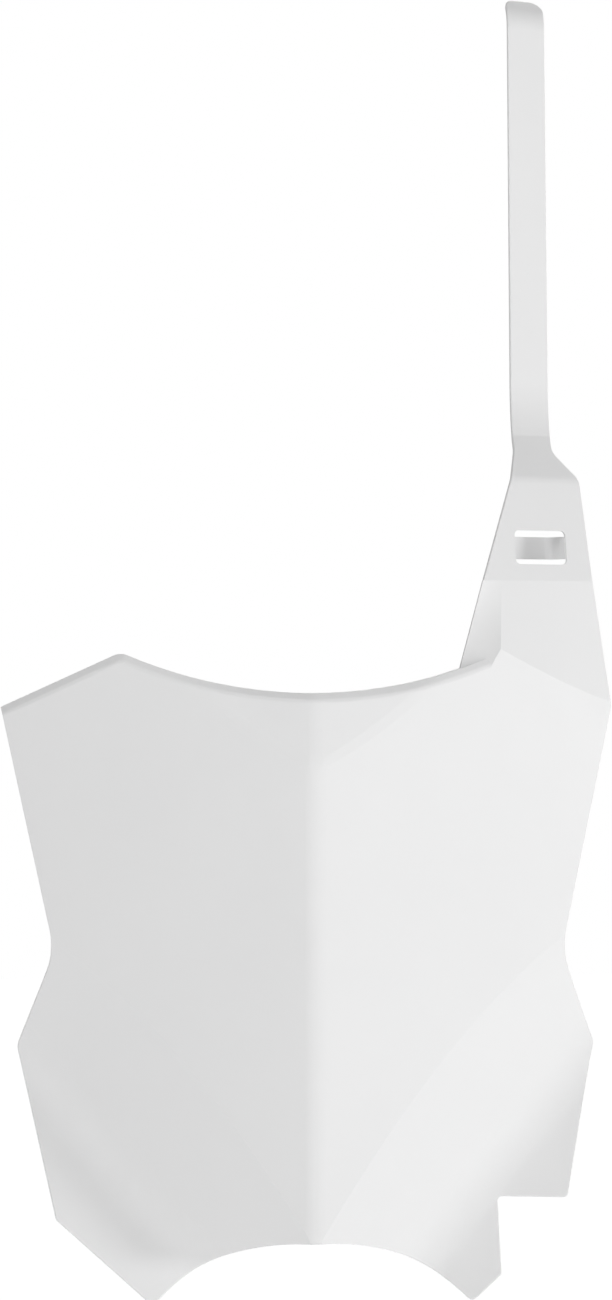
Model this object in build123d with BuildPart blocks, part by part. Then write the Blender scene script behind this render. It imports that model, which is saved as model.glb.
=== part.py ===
from build123d import *
import os
from math import cos, radians, sin, sqrt, tan

# Front number board of a motocross bike, moulded in one piece with its strap.
# The origin is the middle of the bolt hole, on the underside of the lug behind
# the board. +Z is up, the board faces -Y, and the strap stands at +X.
# Lengths are in millimetres and angles in degrees.

# Wall and top rim
wall = 2.5
rim_drop = 3.0
rim_back = 2.1
rim_radius = 3.0
lip_depth = 10.0
edge_round = 0.5

# The two faces, each a shallow arc, which meet at the keel
face_radius = 744.0
keel_angle = 14.0
keel_radius = 17.0

# Brow, where the keel leans back and softens towards the top edge
brow_drop = 29.5
brow_lean = 10.0
brow_angle = 9.0
fold_radius = 20.0

# Outline: offsets from the keel and heights above its foot
crest_height = 219.0
peak_offset = 77.4
peak_height = 235.4
peak_round = 6.0
shoulder_offset = 126.0
shoulder_height = 213.0
waist_offset = 105.5
waist_high = 119.5
waist_low = 110.0
waist_round = 25.0
corner_offset = 119.4
corner_height = 74.0
corner_round = 6.0
heel_offset = 103.6
heel_height = 6.0
heel_round = 3.0
toe_offset = 64.8
toe_height = -28.0
toe_round = 2.5
arch_height = -1.6

# Hose notch in the lower corner under the strap
notch_offset = 77.0
notch_height = 12.5
notch_round = 2.0

# Cheeks, which sweep back from folds that run from below the foot to the waist,
# and the wings, which turn forward again along a valley that starts at the corner
fold_drop = 4.0
corner_setback = 50.0
wing_flare = 50.0
valley_radius = 22.0

# Tab under the strap: heights above the peak beside it
tab_root_offset = 60.8
tab_root_setback = 7.0
tab_root_depth = 5.0
tab_proud = 0.5
tab_fold_height = 29.6
tab_fold_left = 71.0
tab_fold_ridge = 79.0
tab_fold_right = 119.6
tab_fold_setback = 42.8
tab_turn = 25.0
tab_lean = 22.0
tab_top_left = 85.9
tab_top_right = 116.6
tab_top_height = 72.6

# Strap, and the step and neck that set it behind the tab
strap_width = 17.2
strap_middle = 97.4
strap_length = 194.5
strap_lean = 12.0
strap_tilt = 1.4
step_height = 19.0
step_lean = 41.0
step_radius = 10.0
taper_height = 12.0
taper_round = 8.0
neck_height = 12.0
neck_lean = 30.0
neck_radius = 60.0
crease_radius = 4.0
tip_length = 12.0
tip_lean = 44.0
tip_radius = 18.0
tip_round = 5.0

# Keeper, the loop behind the tab that takes the end of the strap: its height is
# above the peak
keeper_middle = 97.3
keeper_height = 43.6
keeper_width = 25.0
window_length = 14.2
window_round = 2.0
band_length = 9.4
band_gap = 10.0
band_round = 3.0

# Bolt lug behind the keel
lug_reach = 36.0
lug_height = 62.0
lug_width = 34.0
lug_thickness = 4.0
lug_end_radius = 11.0
bolt_diameter = 6.6
gusset_height = 22.0
gusset_thickness = 2.5
gusset_spread = 22.0

# The body behind the faces is made larger than the board and then trimmed
body_width = 320.0
body_depth = 120.0
body_below = 70.0
body_above = 300.0

keel_y = -lug_reach
foot_z = -lug_height
front_view = Plane(origin=(0, 0, foot_z), x_dir=(1, 0, 0), z_dir=(0, -1, 0))


def edge_faces(solid, edge):
    return [face for face in solid.faces() if any(edge.is_same(side) for side in face.edges())]


def turned_edges(solid, least, most):
    # Edges at which the surface of a solid turns through an angle in this range
    def turn(edge):
        first, second = [face.normal_at(edge @ 0.5) for face in edge_faces(solid, edge)]
        return first.get_angle(second)

    return solid.edges().filter_by(lambda edge: least < turn(edge) < most)


def face_setback(offset):
    # Distance of a face behind the keel, at an offset from it
    across = offset + face_radius * sin(radians(keel_angle))
    return face_radius * cos(radians(keel_angle)) - sqrt(face_radius**2 - across**2)


def board_point(offset, setback, height):
    return Vector(offset, keel_y + setback, foot_z + height)


def cheek_plane():
    # Plane across the fold of the right cheek, with X outward along the cheek
    foot = board_point(0, 0, -fold_drop)
    waist = board_point(waist_offset, face_setback(waist_offset), waist_high)
    corner = board_point(corner_offset, corner_setback, corner_height)
    along = (waist - foot).normalized()
    backward = along.cross(corner - foot).normalized()
    return Plane(origin=foot, x_dir=backward.cross(along), z_dir=along)


def valley_distance():
    corner = board_point(corner_offset, corner_setback, corner_height)
    return cheek_plane().to_local_coords(corner).X


def wing_room():
    # Space in front of the right wing, which stands forward of the face at its edge
    with BuildPart() as room:
        with BuildSketch(cheek_plane()):
            with Locations((valley_distance(), 0)):
                Rectangle(body_depth, body_depth, align=(Align.MIN, Align.MAX))
        extrude(amount=2 * body_width, both=True)
    return room.part


def cheek_body(inset):
    # Everything behind the right cheek and wing, as a prism along their fold
    valley = valley_distance() + inset * tan(radians(wing_flare / 2))
    tip = (valley + body_depth, inset - body_depth * tan(radians(wing_flare)))
    with BuildPart() as body:
        with BuildSketch(cheek_plane()) as profile:
            with BuildLine():
                Polyline((-2 * body_width, inset), (valley, inset), tip,
                         (tip[0], body_width), (-2 * body_width, body_width), close=True)
            make_face()
            bend = profile.vertices().sort_by_distance((valley, inset))[0]
            fillet(bend, valley_radius + inset)
        extrude(amount=2 * body_width, both=True)
    return body.part


def face_body(inset):
    # Everything behind the two faces and the brow, moved back by the inset
    with BuildPart() as body:
        with BuildSketch(Plane.XY.offset(foot_z - body_below)) as faces:
            shift = face_radius * sin(radians(keel_angle))
            centre_y = keel_y + face_radius * cos(radians(keel_angle))
            with Locations((-shift, centre_y)):
                Circle(face_radius - inset)
            with Locations((shift, centre_y)):
                Circle(face_radius - inset, mode=Mode.INTERSECT)
            with Locations((0, keel_y)):
                Rectangle(body_width, 2 * body_depth, mode=Mode.INTERSECT)
            fillet(faces.vertices().sort_by(Axis.Y)[0], keel_radius - inset)
        extrude(amount=body_below + body_above)
        brow_start = board_point(0, 0, crest_height - brow_drop)
        rise = (0, sin(radians(brow_lean)), cos(radians(brow_lean)))
        with BuildSketch(Plane(origin=brow_start, x_dir=(1, 0, 0), z_dir=rise)) as brow:
            apex = inset / cos(radians(brow_angle))
            sweep = apex + body_width * tan(radians(brow_angle))
            back = 2 * body_depth
            with BuildLine():
                Polyline((0, apex), (body_width, sweep), (body_width, back),
                         (-body_width, back), (-body_width, sweep), close=True)
            make_face()
            fillet(brow.vertices().sort_by(Axis.Y)[0], keel_radius - inset)
        extrude(amount=2 * body_above, both=True, mode=Mode.INTERSECT)
        brow_folds = [
            edge for edge in body.edges()
            if edge.geom_type == GeomType.ELLIPSE
            and edge.bounding_box().min.Z < brow_start.Z + brow_drop
        ]
        fillet(brow_folds, fold_radius - inset)
    return body.part


def shield_body(inset):
    # The same with a cheek and a wing formed on each side
    faces = face_body(inset)
    room = wing_room()
    cheek = cheek_body(inset)
    with BuildPart() as body:
        add(faces)
        add(room)
        add(mirror(room, about=Plane.YZ, mode=Mode.PRIVATE))
        add(cheek, mode=Mode.INTERSECT)
        add(mirror(cheek, about=Plane.YZ, mode=Mode.PRIVATE), mode=Mode.INTERSECT)
    return body.part


def shield_outline():
    with BuildSketch(front_view) as outline:
        with BuildLine():
            ThreePointArc((-peak_offset, peak_height), (0, crest_height), (peak_offset, peak_height))
            right_side = Polyline(
                (peak_offset, peak_height),
                (shoulder_offset, shoulder_height),
                (waist_offset, waist_high),
                (waist_offset, waist_low),
                (corner_offset, corner_height),
                (heel_offset, heel_height),
                (toe_offset, toe_height),
            )
            mirror(right_side, about=Plane.YZ)
            ThreePointArc((-toe_offset, toe_height), (0, arch_height), (toe_offset, toe_height))
        make_face()
        with Locations((notch_offset, notch_height)):
            Rectangle(body_width, body_width, align=(Align.MIN, Align.MAX), mode=Mode.SUBTRACT)

        def corners(offset, height):
            return [
                v for v in outline.vertices()
                if abs(abs(v.X) - offset) < 0.01 and abs(v.Y - height) < 0.01
            ]

        fillet(corners(waist_offset, waist_high) + corners(waist_offset, waist_low), waist_round)
        fillet(corners(corner_offset, corner_height), corner_round)
        fillet(corners(heel_offset, heel_height), heel_round)
        fillet(corners(toe_offset, toe_height), toe_round)
        notch_corners = [
            v for v in outline.vertices()
            if abs(v.X - notch_offset) < 0.01 or abs(v.Y - notch_height) < 0.01
        ]
        fillet(notch_corners, notch_round)
        fillet([v for v in corners(peak_offset, peak_height) if v.X < 0], peak_round)
    return outline.sketch


def crest_rise(offset):
    # Height of the top edge between the peaks, above the foot of the keel
    sag = peak_height - crest_height
    radius = (peak_offset**2 + sag**2) / (2 * sag)
    return crest_height + radius - sqrt(radius**2 - offset**2)


def fold_point(offset):
    # Point on the fold where the tab starts to lean back
    turned = (offset - strap_middle) * tan(radians(tab_turn))
    return board_point(offset, tab_fold_setback + turned, peak_height + tab_fold_height)


def tab_strip(left, right):
    # Section of the tab between two points of its front, parallel to Y
    along = right - left
    plane = Plane(origin=left, x_dir=along, z_dir=along.cross(Vector(0, 1, 0)))
    back = Vector(0, wall / cos(radians(tab_lean)) / cos(radians(tab_turn)), 0)
    ends = [plane.to_local_coords(point) for point in (left, right, right + back, left + back)]
    with BuildSketch(plane) as strip:
        with BuildLine():
            Polyline(*[(end.X, end.Y) for end in ends], close=True)
        make_face()
    return strip.sketch


across = Vector(cos(radians(tab_turn)), sin(radians(tab_turn)), 0)
behind = Vector(-sin(radians(tab_turn)), cos(radians(tab_turn)), 0)
upward = Vector(0, tan(radians(tab_lean)) / cos(radians(tab_turn)), 1)

# Strap, with the upper part of the tab. Its heights are above the peak too.
peak_z = foot_z + peak_height
peak_view = Plane(origin=(0, 0, peak_z), x_dir=(1, 0, 0), z_dir=(0, -1, 0))
strap_plane = Plane(origin=(strap_middle, keel_y, peak_z), x_dir=behind, z_dir=across)
tab_reach = tab_top_height - tab_fold_height
step_top = tab_top_height + step_height
neck_top = step_top + neck_height
strap_top = step_top + strap_length
curl_height = strap_top - tip_length * cos(radians(tip_lean))
fold_back = tab_fold_setback * cos(radians(tab_turn))
tab_back = fold_back + tab_reach * tan(radians(tab_lean))
step_back = tab_back + step_height * tan(radians(step_lean))
neck_back = step_back + neck_height * tan(radians(neck_lean))
curl_back = neck_back + (curl_height - neck_top) * tan(radians(strap_lean))
tip_back = curl_back + tip_length * sin(radians(tip_lean))

with BuildPart() as strap:
    with BuildSketch(strap_plane):
        with BuildLine():
            FilletPolyline(
                (fold_back - tab_reach * tan(radians(tab_lean)), tab_fold_height - tab_reach),
                (tab_back, tab_top_height),
                (step_back, step_top),
                (neck_back, neck_top),
                (curl_back, curl_height),
                (tip_back, strap_top),
                radius=[step_radius, crease_radius, neck_radius, tip_radius],
            )
            offset(amount=wall, side=Side.RIGHT)
        make_face()
    extrude(amount=body_width, both=True)
    with BuildSketch(peak_view) as ribbon:
        left_edge = strap_middle - strap_width / 2
        right_edge = strap_middle + strap_width / 2
        taper_top = tab_top_height + taper_height
        ribbon_top = strap_top + tip_length
        drift = (ribbon_top - taper_top) * tan(radians(strap_tilt))
        with BuildLine():
            Polyline(
                (tab_fold_left, tab_fold_height),
                (tab_top_left, tab_top_height),
                (left_edge, taper_top),
                (left_edge + drift, ribbon_top),
                (right_edge + drift, ribbon_top),
                (right_edge, taper_top),
                (tab_top_right, tab_top_height),
                (tab_fold_right, tab_fold_height),
                close=True,
            )
        make_face()
        fillet([v for v in ribbon.vertices() if tab_fold_height < v.Y < step_top], taper_round)
    extrude(amount=2 * body_depth, both=True, mode=Mode.INTERSECT)
    tip = strap.faces().sort_by(Axis.Z)[-1]
    fillet(tip.edges().sort_by(SortBy.LENGTH)[:2], tip_round)
    long_edges = [
        edge for edge in turned_edges(strap.part, 60, 120)
        if edge.center().Z > peak_z + tab_fold_height + edge_round
    ]
    fillet(long_edges, edge_round)

front_body = shield_body(0)
back_body = shield_body(wall)
deep_body = face_body(lip_depth)
outline = shield_outline()

# Space behind the rear edge of the top lip
with BuildPart() as lip_end:
    add(deep_body)
    split(bisect_by=Plane.XY.offset(foot_z + waist_high), keep=Keep.TOP)

with BuildPart() as tab:
    peak = board_point(peak_offset, face_setback(peak_offset) - tab_proud, peak_height)
    shoulder = board_point(shoulder_offset, face_setback(shoulder_offset) - tab_proud, shoulder_height)
    root_setback = face_setback(tab_root_offset) + tab_root_setback
    root = board_point(tab_root_offset, root_setback, crest_rise(tab_root_offset))
    starts = (root, peak, shoulder)
    ends = [fold_point(offset) for offset in (tab_fold_left, tab_fold_ridge, tab_fold_right)]
    sunk = (tab_root_depth, tab_root_depth, 0)
    feet = [start + (start - end).normalized() * depth for start, end, depth in zip(starts, ends, sunk)]
    for near in (0, 1):
        loft([tab_strip(feet[near], feet[near + 1]), tab_strip(ends[near], ends[near + 1])], ruled=True)
    add(front_body, mode=Mode.INTERSECT)

# Keeper loop, across the back of the tab
keeper_rise = keeper_height - tab_fold_height
keeper_turned = (keeper_middle - strap_middle) * tan(radians(tab_turn))
keeper_lean = keeper_rise * tan(radians(tab_lean)) / cos(radians(tab_turn))
keeper_setback = tab_fold_setback + keeper_turned + keeper_lean
keeper_point = board_point(keeper_middle, keeper_setback, peak_height + keeper_height)
band_back = 2 * wall + band_gap
band_foot = keeper_point - upward * (band_length / 2)

with BuildPart() as keeper:
    with BuildSketch(Plane(origin=band_foot, x_dir=across, z_dir=(0, 0, 1))) as loop:
        with Locations((0, wall / 2)):
            Rectangle(keeper_width + 2 * wall, band_back - wall / 2, align=(Align.CENTER, Align.MIN))
        fillet(loop.vertices().group_by(Axis.Y)[-1], band_round + wall)
        with BuildSketch(mode=Mode.PRIVATE) as gap:
            Rectangle(keeper_width, wall + band_gap, align=(Align.CENTER, Align.MIN))
            fillet(gap.vertices().group_by(Axis.Y)[-1], band_round)
        add(gap.sketch, mode=Mode.SUBTRACT)
    extrude(amount=band_length * upward.length, dir=upward)

# Space behind the wall of the shield. It stays under the lip along the top edge,
# and goes right up to the slope beside the peak, where the tab carries on the wall.
with BuildPart() as hollow:
    add(back_body)
    with BuildSketch(front_view):
        fall = (peak_height - shoulder_height) / (shoulder_offset - peak_offset)
        slope_end = (body_width, peak_height - fall * (body_width - peak_offset))
        low = -2 * body_width
        with BuildLine():
            ThreePointArc((-peak_offset, peak_height), (0, crest_height), (peak_offset, peak_height))
            slope = Polyline((peak_offset, peak_height), slope_end, (body_width, low), (0, low))
            mirror(slope, about=Plane.YZ)
        make_face()
        offset(amount=-wall, kind=Kind.INTERSECTION)
        with BuildLine():
            Polyline((peak_offset, peak_height), slope_end, (body_width, low), (peak_offset, low),
                     close=True)
        make_face()
    extrude(amount=2 * body_depth, both=True, mode=Mode.INTERSECT)

# Lug that carries the bolt, braced by two gussets
lug_root = shield_body(wall / 2)
with BuildPart() as lug:
    with BuildSketch():
        with BuildLine():
            CenterArc((0, 0), lug_end_radius, 0, 360)
            Line((-lug_width / 2, keel_y), (lug_width / 2, keel_y))
        make_hull()
    extrude(amount=lug_thickness)
    for side in (1, -1):
        with BuildSketch(Plane.YZ.offset(side * gusset_spread / 2)):
            with BuildLine():
                Polyline((keel_y, 0), (-lug_end_radius, 0), (-lug_end_radius, lug_thickness),
                         (keel_y, lug_thickness + gusset_height), close=True)
            make_face()
        extrude(amount=gusset_thickness / 2, both=True)
    add(lug_root, mode=Mode.INTERSECT)
    with Locations((0, 0, lug_thickness)):
        Hole(bolt_diameter / 2, depth=lug_thickness)

with BuildPart() as number_board:
    add(front_body)
    extrude(outline, amount=2 * body_depth, both=True, mode=Mode.INTERSECT)
    block_back = keel_y + body_depth
    top = number_board.edges().sort_by_distance(board_point(0, 0, crest_height))[0]
    top_face = max(edge_faces(number_board.part, top), key=lambda face: face.normal_at(top @ 0.5).Z)
    chamfer(top, rim_back, rim_drop, reference=top_face)
    rim = [
        edge for edge in turned_edges(number_board.part, 20, 50)
        if edge.bounding_box().min.Z > foot_z + shoulder_height - 2 * rim_drop
        and max(face.normal_at(edge @ 0.5).Y for face in edge_faces(number_board.part, edge)) < -0.5
    ]
    fillet(rim, rim_radius)
    for side in (1, -1):
        side_edges = [
            edge for edge in turned_edges(number_board.part, 60, 120)
            if edge.bounding_box().max.Y < block_back - wall
            and edge.center().Z < foot_z + shoulder_height - rim_drop
            and side * edge.center().X > toe_offset - toe_round
        ]
        fillet(side_edges, edge_round)
    add(lip_end.part, mode=Mode.SUBTRACT)
    add(tab.part)
    add(strap.part)
    add(hollow.part, mode=Mode.SUBTRACT)

    with BuildSketch(Plane(origin=keeper_point, x_dir=(1, 0, 0), z_dir=(0, -1, 0))):
        RectangleRounded(keeper_width * cos(radians(tab_turn)), window_length, window_round)
    extrude(amount=window_length, both=True, mode=Mode.SUBTRACT)
    add(keeper.part)
    add(lug.part)

number_board.part.label = "number_board"
os.makedirs("parts", exist_ok=True)
export_step(number_board.part, "parts/number_board.step")
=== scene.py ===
import bpy
import math
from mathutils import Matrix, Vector


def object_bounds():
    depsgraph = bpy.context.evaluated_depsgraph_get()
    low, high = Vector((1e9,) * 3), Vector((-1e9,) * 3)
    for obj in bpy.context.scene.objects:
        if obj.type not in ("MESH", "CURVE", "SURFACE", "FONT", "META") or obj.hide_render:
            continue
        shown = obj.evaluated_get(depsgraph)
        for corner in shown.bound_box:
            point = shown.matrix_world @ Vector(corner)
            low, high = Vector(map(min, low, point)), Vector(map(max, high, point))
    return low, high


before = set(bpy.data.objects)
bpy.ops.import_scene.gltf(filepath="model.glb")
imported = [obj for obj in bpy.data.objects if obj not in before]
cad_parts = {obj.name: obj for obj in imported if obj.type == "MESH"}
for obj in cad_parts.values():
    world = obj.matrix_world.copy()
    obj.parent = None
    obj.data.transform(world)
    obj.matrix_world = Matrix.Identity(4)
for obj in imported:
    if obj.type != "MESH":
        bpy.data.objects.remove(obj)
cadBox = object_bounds()
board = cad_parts["number_board"]
print("frame loaded, board is", [round(side * 1000) for side in cadBox[1] - cadBox[0]], "mm")

white = (1.0, 1.0, 1.0, 1.0)


# White plastic, moulded with a fine satin skin in front and a coarser grain behind
plasticFinish = {
    "palest": (0.845, 0.845, 0.845, 1.0),
    "darkest": (0.815, 0.815, 0.817, 1.0),
    "refraction": 1.49,
    "clouds": {"size": 0.055, "detail": 2.0},      # slow drift of the colour where the melt flowed
    "patches": {"size": 0.014, "detail": 3.0},     # slightly smoother skin here and there
    "smoothFrom": 0.3,                             # noise level at which a patch is smoothest
    "roughFrom": 0.7,
    "smoothest": 0.56,
    "roughest": 0.68,
    "peel": {"size": 0.0026, "detail": 1.0},       # gentle orange peel
    "grain": {"size": 0.0005, "detail": 1.0},      # fine spark-eroded grain of the mould
    "peelShare": 0.7,
    "backGrain": {"size": 0.0011, "detail": 2.0},  # the back of the mould is left rougher
    "backRoughness": 0.78,
    "backStarts": 0.05,                            # how far a surface turns to the bike
    "backIsFull": 0.35,
    "bumpDepth": 0.00008,
    "bumpStrength": 0.35,
}


def addNoise(nodes, links, coords, pattern):
    noise = nodes.new("ShaderNodeTexNoise")
    noise.inputs["Scale"].default_value = 1.0 / pattern["size"]
    noise.inputs["Detail"].default_value = pattern["detail"]
    links.new(coords.outputs["Object"], noise.inputs["Vector"])
    return noise.outputs["Fac"]


def makePlastic(finish):
    material = bpy.data.materials.new("satin_white_plastic")
    material.use_nodes = True
    nodes = material.node_tree.nodes
    links = material.node_tree.links
    shader = nodes["Principled BSDF"]
    shader.inputs["IOR"].default_value = finish["refraction"]
    coords = nodes.new("ShaderNodeTexCoord")

    tint = nodes.new("ShaderNodeMix")
    tint.data_type = "RGBA"
    tint.inputs["A"].default_value = finish["darkest"]
    tint.inputs["B"].default_value = finish["palest"]
    links.new(addNoise(nodes, links, coords, finish["clouds"]), tint.inputs["Factor"])
    links.new(tint.outputs["Result"], shader.inputs["Base Color"])

    # 1 on what faces the bike, 0 on what faces forward
    facing = nodes.new("ShaderNodeSeparateXYZ")
    links.new(coords.outputs["Normal"], facing.inputs["Vector"])
    behind = nodes.new("ShaderNodeMapRange")
    behind.inputs["From Min"].default_value = finish["backStarts"]
    behind.inputs["From Max"].default_value = finish["backIsFull"]
    links.new(facing.outputs["Y"], behind.inputs["Value"])

    sheen = nodes.new("ShaderNodeMapRange")
    sheen.inputs["From Min"].default_value = finish["smoothFrom"]
    sheen.inputs["From Max"].default_value = finish["roughFrom"]
    sheen.inputs["To Min"].default_value = finish["smoothest"]
    sheen.inputs["To Max"].default_value = finish["roughest"]
    links.new(addNoise(nodes, links, coords, finish["patches"]), sheen.inputs["Value"])
    matt = nodes.new("ShaderNodeMix")
    matt.data_type = "FLOAT"
    matt.inputs["B"].default_value = finish["backRoughness"]
    links.new(behind.outputs["Result"], matt.inputs["Factor"])
    links.new(sheen.outputs["Result"], matt.inputs["A"])
    links.new(matt.outputs["Result"], shader.inputs["Roughness"])

    skin = nodes.new("ShaderNodeMix")
    skin.data_type = "FLOAT"
    skin.inputs["Factor"].default_value = finish["peelShare"]
    links.new(addNoise(nodes, links, coords, finish["grain"]), skin.inputs["A"])
    links.new(addNoise(nodes, links, coords, finish["peel"]), skin.inputs["B"])
    bothSides = nodes.new("ShaderNodeMix")
    bothSides.data_type = "FLOAT"
    links.new(behind.outputs["Result"], bothSides.inputs["Factor"])
    links.new(skin.outputs["Result"], bothSides.inputs["A"])
    links.new(addNoise(nodes, links, coords, finish["backGrain"]), bothSides.inputs["B"])
    bump = nodes.new("ShaderNodeBump")
    bump.inputs["Strength"].default_value = finish["bumpStrength"]
    bump.inputs["Distance"].default_value = finish["bumpDepth"]
    links.new(bothSides.outputs["Result"], bump.inputs["Height"])
    links.new(bump.outputs["Normal"], shader.inputs["Normal"])
    return material


board.material_slots[0].material = makePlastic(plasticFinish)
print("plastic on the board")


# Pale floor, well below the board. It lights the board from below and is white to the camera
floorLook = {
    "drop": 1.2,               # below the lowest point of the board
    "size": 30.0,
    "colour": (0.80, 0.80, 0.80, 1.0),
    "roughness": 0.9,
    "glow": 0.57,              # light that it gives to the board
    "paper": 0.95,             # added where the camera sees it, up to white
}
skyLook = {"light": 0.03, "backdrop": 1.0}


def seenDirectly(nodes, links):
    # 1 for the camera and for what shiny or clear surfaces show of the backdrop
    path = nodes.new("ShaderNodeLightPath")
    glossy = nodes.new("ShaderNodeMath")
    glossy.operation = "MAXIMUM"
    links.new(path.outputs["Is Camera Ray"], glossy.inputs[0])
    links.new(path.outputs["Is Glossy Ray"], glossy.inputs[1])
    clear = nodes.new("ShaderNodeMath")
    clear.operation = "MAXIMUM"
    links.new(glossy.outputs["Value"], clear.inputs[0])
    links.new(path.outputs["Is Transmission Ray"], clear.inputs[1])
    return clear.outputs["Value"]


def strengthBySight(nodes, links, unseen, seen):
    level = nodes.new("ShaderNodeMapRange")
    level.inputs["To Min"].default_value = unseen
    level.inputs["To Max"].default_value = seen
    links.new(seenDirectly(nodes, links), level.inputs["Value"])
    return level.outputs["Result"]


def addFloor(look):
    bpy.ops.object.select_all(action="DESELECT")
    bpy.ops.mesh.primitive_plane_add(size=look["size"], location=(0, 0, cadBox[0].z - look["drop"]))
    floor = bpy.context.object
    floor.name = "floor"
    material = bpy.data.materials.new("pale_floor")
    material.use_nodes = True
    nodes = material.node_tree.nodes
    links = material.node_tree.links
    shader = nodes["Principled BSDF"]
    shader.inputs["Base Color"].default_value = look["colour"]
    shader.inputs["Roughness"].default_value = look["roughness"]
    shader.inputs["Emission Color"].default_value = white
    strength = strengthBySight(nodes, links, look["glow"], look["paper"])
    links.new(strength, shader.inputs["Emission Strength"])
    floor.data.materials.append(material)


def setSky(look):
    world = bpy.data.worlds.new("studio")
    bpy.context.scene.world = world
    world.use_nodes = True
    nodes = world.node_tree.nodes
    links = world.node_tree.links
    sky = nodes["Background"]
    sky.inputs["Color"].default_value = white
    strength = strengthBySight(nodes, links, look["light"], look["backdrop"])
    links.new(strength, sky.inputs["Strength"])


addFloor(floorLook)
setSky(skyLook)
print("floor and sky set")


# Lamps: angles are to the right of the front and above the horizon
boardMiddle = (cadBox[0] + cadBox[1]) / 2
lamps = [
    {"name": "key", "right": 73.0, "up": 0.0, "distance": 2.0, "size": 0.3, "power": 14.9},
    {"name": "front", "right": -5.0, "up": 0.0, "distance": 2.0, "size": 1.0, "power": 14.1},
    {"name": "left_top", "right": -25.0, "up": 45.0, "distance": 2.0, "size": 1.0, "power": 7.9},
    {"name": "top", "right": 0.0, "up": 75.0, "distance": 2.0, "size": 1.0, "power": 3.5},
    {"name": "back", "right": 160.0, "up": 25.0, "distance": 2.4, "size": 1.6, "power": 19.0},
]


def addLamp(lamp):
    right = math.radians(lamp["right"])
    up = math.radians(lamp["up"])
    level = Vector((math.sin(right), -math.cos(right), 0.0))
    towards = level * math.cos(up) + Vector((0.0, 0.0, math.sin(up)))
    bpy.ops.object.light_add(type="AREA", location=boardMiddle + towards * lamp["distance"])
    light = bpy.context.object
    light.name = lamp["name"]
    light.rotation_euler = towards.to_track_quat("Z", "Y").to_euler()
    light.data.shape = "SQUARE"
    light.data.size = lamp["size"]
    light.data.energy = lamp["power"]


for lamp in lamps:
    addLamp(lamp)
print("lamps:", ", ".join(lamp["name"] for lamp in lamps))


# Camera, a little to the left of the keel and level with the middle of the picture
shot = {
    "left": 4.3,               # degrees
    "distance": 1.480,         # from the keel
    "height": 0.1744,
    "aside": -0.0040,          # moved left, so the keel stands right of the picture's middle
    "focalPixels": 3700.0,
    "pictureHeight": 1300.0,
    "sensor": 36.0,
}


def addCamera(shot):
    turn = math.radians(-shot["left"])
    towards = Vector((math.sin(turn), -math.cos(turn), 0.0))
    sideways = Vector((math.cos(turn), math.sin(turn), 0.0))
    keel = Vector((0.0, cadBox[0].y, shot["height"]))
    bpy.ops.object.camera_add(location=keel + sideways * shot["aside"] + towards * shot["distance"])
    camera = bpy.context.object
    camera.rotation_euler = towards.to_track_quat("Z", "Y").to_euler()
    camera.data.sensor_width = shot["sensor"]
    camera.data.lens = shot["focalPixels"] / shot["pictureHeight"] * shot["sensor"]
    bpy.context.scene.camera = camera


addCamera(shot)
bpy.context.scene.view_settings.view_transform = "Standard"
print("camera in place")
